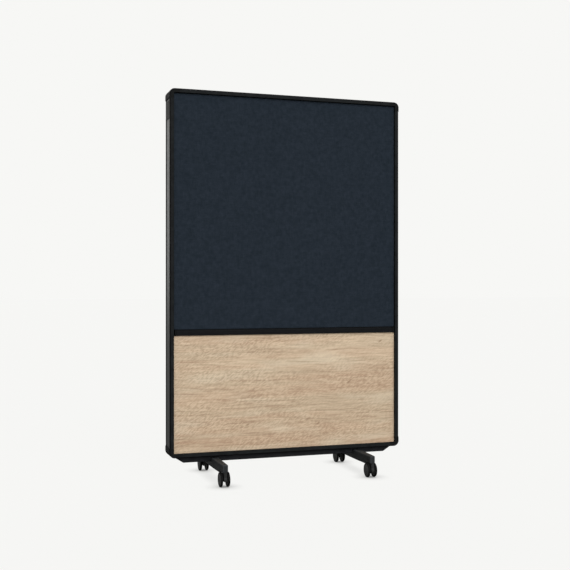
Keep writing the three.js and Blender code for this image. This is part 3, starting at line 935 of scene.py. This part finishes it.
FOOT_ROOT_Y = 0.060
FOOT_ROOT_HALF = 0.018
FOOT_TIP_HALF = 0.013
FOOT_STEP_Y = 0.172
FOOT_STEP_RUN = 0.012
FOOT_TIP_BOTTOM = 0.0725
FOOT_ROUNDING = 0.0062
NOTCH_CLEARANCE = 0.0003
SHARP_ANGLE = math.radians(35)

# Its edge colour, lighter than the face, is a painted highlight on the arms' rounded edges, as if
# they caught the light from above.
cast_paint = dark_finish(
    "cast_paint",
    face=shade(41, 43, 44),
    edge=shade(52, 54, 56),
    gloss=0.60,
    specular=0.14,
    grain=0.0020,
    depth=0.00012,
)


def cross_arm(side):
    """The arm's side view made solid, then narrowed towards both tips."""
    node = f"{side}_foot"
    low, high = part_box(node)
    middle = (low.x + high.x) / 2
    tip = high.y
    notch = BEAM_HIGH.y + NOTCH_CLEARANCE
    sill = BEAM_LOW.z - NOTCH_CLEARANCE
    rise = FOOT_STEP_Y + FOOT_STEP_RUN

    def place(u, v, along):
        return Vector((middle + along, u, v))

    half_outline = [
        (notch, sill),
        (notch, high.z),
        (FOOT_ROOT_Y, high.z),
        (tip, high.z),
        (tip, FOOT_TIP_BOTTOM),
        (rise, FOOT_TIP_BOTTOM),
        (FOOT_STEP_Y, low.z),
        (FOOT_ROOT_Y, low.z),
    ]
    outline = half_outline + [(-u, v) for u, v in reversed(half_outline)]
    bm = prism(outline, place, -1.0, 1.0)
    for vert in bm.verts:
        away = max(0.0, abs(vert.co.y) - FOOT_ROOT_Y) / (tip - FOOT_ROOT_Y)
        half = FOOT_ROOT_HALF + away * (FOOT_TIP_HALF - FOOT_ROOT_HALF)
        vert.co.x = middle + math.copysign(half, vert.co.x - middle)

    def rounded(edge):
        """True for a long edge on top or below, and for an upright or top edge at a tip."""
        near, far = (vert.co for vert in edge.verts)
        along_arm = abs(far.y - near.y) > APART and abs(far.z - near.z) < NEAR
        on_top = near.z > high.z - NEAR and far.z > high.z - NEAR
        below = near.z < low.z + NEAR and far.z < low.z + NEAR
        at_tip = abs(near.y) > tip - NEAR and abs(far.y) > tip - NEAR
        upright = at_tip and abs(far.z - near.z) > APART
        return upright or (at_tip and on_top) or (along_arm and (on_top or below))

    round_edges(bm, [edge for edge in bm.edges if rounded(edge)], FOOT_ROUNDING, 6)
    crisp = [
        edge
        for edge in bm.edges
        if len(edge.link_faces) == 2 and edge.calc_face_angle() > SHARP_ANGLE
    ]
    round_edges(bm, crisp, CRISP_ROUNDING, 2)
    show(bm, f"{side}_cross_arm", [node], cast_paint)


for side in ("left", "right"):
    cross_arm(side)

# ---------------------------------------------------------------- casters
# Four black nylon twin-wheel casters. A steel stem lets each hood swivel under its arm, and a
# steel axle through the hood carries two wheels, each a domed disc inside a softer tread.

WHEEL_RADIUS = 0.035
TRAIL = 0.018
HOOD_RADIUS = 0.0335
HOOD_HALF_WIDTH = 0.008
HOOD_LOW_EDGE = 0.028
HOOD_BLOCK_HALF = 0.013
HOOD_ROUNDING = 0.0015
HOOD_EDGE_ANGLE = math.radians(40)
COLLAR_RADIUS = 0.012
COLLAR_BORE = 0.0058
COLLAR_BOTTOM = 0.0708
COLLAR_STEPS = 48
TREAD_INNER = 0.01265
TREAD_OUTER = 0.02255
TREAD_BORE = 0.0297
TREAD_INNER_ROUNDING = 0.0015
TREAD_OUTER_ROUNDING = 0.0020
HUB_RADIUS = 0.0294
HUB_INNER = 0.01225
HUB_BORE = 0.0033
HUB_BOSS = 0.0070
HUB_WELL_DEPTH = 0.0020
HUB_WELL_START = 0.0078
HUB_WELL_END = 0.0252
HUB_RIM = 0.0260
AXLE_POCKET = 0.0193
BEAD_X = 0.0221
BEAD_RADIUS = 0.0009
LIP_CENTRE = (0.0223, 0.0272)
LIP_RADIUS = 0.0007
GROOVE = [(0.0222, 0.0258), (0.0226, 0.0252)]
DOME_X = 0.0227
DOME_RISE = 0.0017
DOME_RADIUS = 0.0248
DOME_SHARES = (0.98, 0.92, 0.84, 0.74, 0.62, 0.50, 0.38, 0.26)
BUTTON = [
    (0.02412, 0.0058),
    (0.02395, 0.0054),
    (0.02412, 0.0050),
    (0.02435, 0.0030),
    (0.0244, 0.0),
]
WHEEL_STEPS = 72
STEEL_DARK = shade(150, 152, 154)
STEEL_BRIGHT = shade(182, 184, 186)
STEEL_RELIEF = 0.00001

# Its edge colour, darker than the face, is painted shade on the hood's rounded edges.
nylon_hood = dark_finish(
    "nylon_hood",
    face=shade(38, 39, 39),
    edge=shade(22, 22, 22),
    gloss=0.50,
    specular=0.16,
    grain=0.0010,
    depth=0.00003,
)
# Its edge colour, darker than the face, is painted shade on the disc's rounded edges.
nylon_disc = dark_finish(
    "nylon_disc",
    face=shade(52, 53, 53),
    edge=shade(22, 22, 22),
    gloss=0.44,
    specular=0.20,
    grain=0.0009,
    depth=0.00003,
)
# Its edge colour, darker than the face, is painted shade on the tread's rounded edges.
soft_tread = dark_finish(
    "soft_tread",
    face=shade(18, 18, 18),
    edge=shade(13, 13, 13),
    gloss=0.78,
    specular=0.08,
    grain=0.0011,
    depth=0.00006,
)


def brushed_steel():
    material, tree, surface = blank_material("brushed_steel")
    brushing = noise(tree, place_on_piece(tree), (60.0, 60.0, 4000.0))
    feed(
        tree,
        surface,
        Base_Color=blend_colours(tree, brushing, STEEL_DARK, STEEL_BRIGHT),
        Metallic=1.0,
        Roughness=span(tree, brushing, 0.3, 0.7, 0.28, 0.42),
        Normal=relief(tree, brushing, STEEL_RELIEF),
    )
    return material


steel = brushed_steel()


def arc(centre, radius, start, end, steps):
    """Points on a circle's stretch, from start to end in degrees."""
    angles = [math.radians(start + (end - start) * i / steps) for i in range(steps + 1)]
    return [
        (centre[0] + radius * math.cos(angle), centre[1] + radius * math.sin(angle))
        for angle in angles
    ]


def turned(profile, closed):
    """A solid turned about the X axis. The profile holds (x, radius) points."""
    bm = start_mesh()
    chain = [bm.verts.new((x, 0.0, radius)) for x, radius in profile]
    pairs = list(zip(chain, chain[1:]))
    if closed:
        pairs.append((chain[-1], chain[0]))
    lines = [bm.edges.new(pair) for pair in pairs]
    bmesh.ops.spin(
        bm,
        geom=chain + lines,
        cent=(0, 0, 0),
        axis=(1, 0, 0),
        dvec=(0, 0, 0),
        angle=2 * math.pi,
        steps=WHEEL_STEPS,
        use_merge=True,
        use_normal_flip=False,
        use_duplicate=False,
    )
    bmesh.ops.remove_doubles(bm, verts=bm.verts[:], dist=MERGE_DISTANCE)
    return bm


INNER_SHOULDER = (TREAD_INNER + TREAD_INNER_ROUNDING, WHEEL_RADIUS - TREAD_INNER_ROUNDING)
OUTER_SHOULDER = (TREAD_OUTER - TREAD_OUTER_ROUNDING, WHEEL_RADIUS - TREAD_OUTER_ROUNDING)
TREAD_PROFILE = (
    [(TREAD_INNER, TREAD_BORE)]
    + arc(INNER_SHOULDER, TREAD_INNER_ROUNDING, 180, 90, 5)
    + arc(OUTER_SHOULDER, TREAD_OUTER_ROUNDING, 90, 0, 6)
    + [(TREAD_OUTER, TREAD_BORE)]
)
DISC_PROFILE = (
    [
        (AXLE_POCKET, 0.0),
        (AXLE_POCKET, HUB_BORE),
        (HUB_INNER, HUB_BORE),
        (HUB_INNER, HUB_BOSS),
        (HUB_INNER + HUB_WELL_DEPTH, HUB_WELL_START),
        (HUB_INNER + HUB_WELL_DEPTH, HUB_WELL_END),
        (HUB_INNER, HUB_RIM),
        (HUB_INNER, HUB_RADIUS),
    ]
    + arc((BEAD_X, HUB_RADIUS - BEAD_RADIUS), BEAD_RADIUS, 90, 0, 4)
    + arc(LIP_CENTRE, LIP_RADIUS, 0, -90, 4)
    + GROOVE
    + [
        (DOME_X + DOME_RISE * math.cos(math.pi / 2 * share), DOME_RADIUS * share)
        for share in DOME_SHARES
    ]
    + BUTTON
)


def place_piece(bm, centre, mirror_x=False, mirror_y=False):
    """Mirrors a piece modelled about its own middle, and moves it to its place."""
    scale = (-1 if mirror_x else 1, -1 if mirror_y else 1, 1)
    bmesh.ops.scale(bm, vec=scale, verts=bm.verts[:])
    bmesh.ops.translate(bm, vec=centre, verts=bm.verts[:])


def hood_mesh():
    """The hood about its axle, with the stem towards -Y."""
    front = -TRAIL - HOOD_BLOCK_HALF
    back = -TRAIL + HOOD_BLOCK_HALF
    top = COLLAR_BOTTOM - WHEEL_RADIUS
    low = math.degrees(math.asin((HOOD_LOW_EDGE - WHEEL_RADIUS) / HOOD_RADIUS))
    meets_front = math.degrees(math.acos(front / HOOD_RADIUS))
    meets_back = math.degrees(math.acos(back / HOOD_RADIUS))
    outline = (
        [(front, top)]
        + arc((0, 0), HOOD_RADIUS, meets_front, 180 - low, 12)
        + arc((0, 0), HOOD_RADIUS, low, meets_back, 30)
        + [(back, top)]
    )

    def place(u, v, along):
        return Vector((along, u, v))

    bm = prism(outline, place, -HOOD_HALF_WIDTH, HOOD_HALF_WIDTH)
    rim = [
        edge
        for edge in bm.edges
        if abs(edge.verts[0].co.x - edge.verts[1].co.x) < MERGE_DISTANCE
        or edge.calc_face_angle() > HOOD_EDGE_ANGLE
    ]
    round_edges(bm, rim, HOOD_ROUNDING, 3)
    return bm


def collar_mesh():
    """The bearing collar on top of the hood, round the stem."""
    bm = start_mesh()
    for radius in (COLLAR_BORE, COLLAR_RADIUS):
        bmesh.ops.create_circle(bm, segments=COLLAR_STEPS, radius=radius)
    bmesh.ops.bridge_loops(bm, edges=bm.edges[:])
    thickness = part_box("front_left_caster_body")[1].z - COLLAR_BOTTOM
    grown = bmesh.ops.extrude_face_region(bm, geom=bm.faces[:])["geom"]
    raised = [part for part in grown if isinstance(part, bmesh.types.BMVert)]
    bmesh.ops.translate(bm, verts=raised, vec=(0, 0, thickness))
    return bm


for row, row_sign in (("front", -1), ("rear", 1)):
    for column in ("left", "right"):
        corner = f"{row}_{column}"
        low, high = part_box(f"{corner}_caster_axle")
        axle = (low + high) / 2
        stem = Vector((axle.x, axle.y + row_sign * TRAIL, COLLAR_BOTTOM))
        swivel = f"{corner}_caster"

        bm = hood_mesh()
        place_piece(bm, axle, mirror_y=row_sign > 0)
        show(bm, f"{corner}_hood", [f"{corner}_caster_body"], nylon_hood, swivel)
        bm = collar_mesh()
        place_piece(bm, stem)
        show(bm, f"{corner}_collar", [f"{corner}_caster_body"], nylon_hood, swivel)
        refinish(steel, f"{corner}_caster_stem", f"{corner}_caster_axle")

        for side in ("left", "right"):
            wheel = f"{corner}_{side}_wheel"
            bm = turned(DISC_PROFILE, closed=False)
            place_piece(bm, axle, mirror_x=side == "left")
            show(bm, f"{wheel}_disc", [f"{corner}_caster_{side}_hub"], nylon_disc, wheel)
            bm = turned(TREAD_PROFILE, closed=True)
            place_piece(bm, axle, mirror_x=side == "left")
            show(bm, f"{wheel}_tread", [f"{corner}_caster_{side}_tyre"], soft_tread, wheel)
